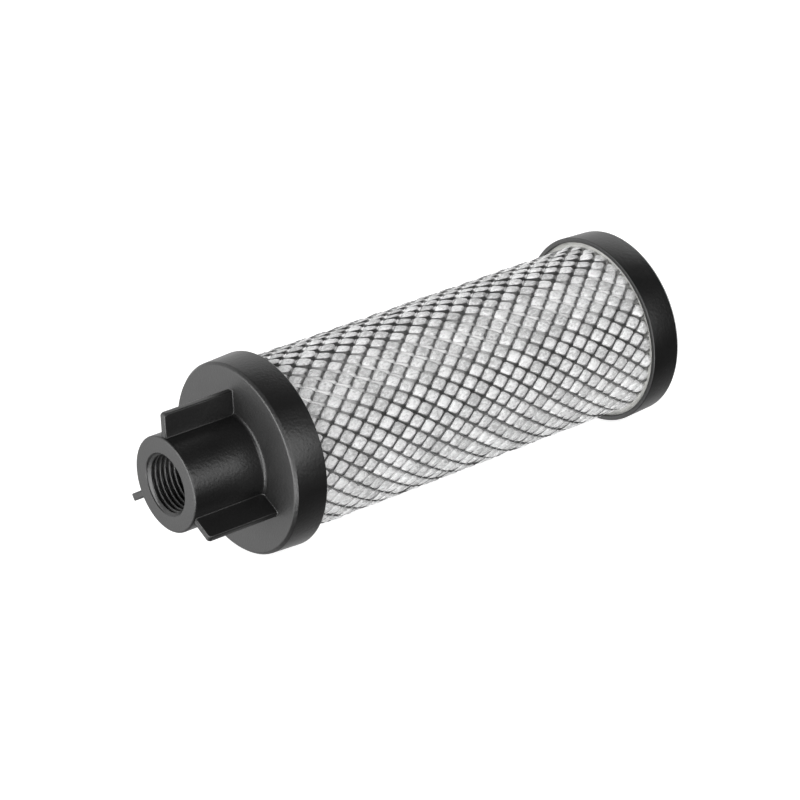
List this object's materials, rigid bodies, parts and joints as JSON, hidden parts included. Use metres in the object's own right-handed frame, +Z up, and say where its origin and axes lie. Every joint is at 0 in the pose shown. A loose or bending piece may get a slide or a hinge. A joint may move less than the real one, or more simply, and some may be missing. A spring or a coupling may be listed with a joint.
{
  "type": "pneumatic exhaust muffler",
  "caption": "Cylindrical air exhaust muffler: black threaded inlet cap with hand wings, closed end cap, and an expanded-metal sleeve over white felt.",
  "frame": {"origin": "centre of the port's mouth, in the plane of the port face", "axes": "+X along the axis from the port to the closed end, +Z up through one of the three wings"},
  "size_m": [0.19, 0.065, 0.065],
  "materials": {
    "black_nylon": "satin moulded, glass-filled",
    "cast_resin": "cast, semi-gloss",
    "expanded_aluminium": "bright, slit and stretched",
    "white_felt": "needled felt",
    "scrim_web": "non-woven web",
    "absorber_fibre": "loose fibre wadding",
    "zinc_plated_steel": "zinc plated"
  },
  "bodies": {
    "root": {"inlet_cap": "black_nylon", "closed_cap": "black_nylon", "inlet_potting_ring": "cast_resin", "closed_potting_ring": "cast_resin", "expanded_sleeve": "expanded_aluminium", "felt_wrap": "white_felt", "backing_scrim": "scrim_web", "absorber_blanket": "absorber_fibre", "core_scrim": "scrim_web", "core_tube": "zinc_plated_steel"}
  },
  "joints": []
}
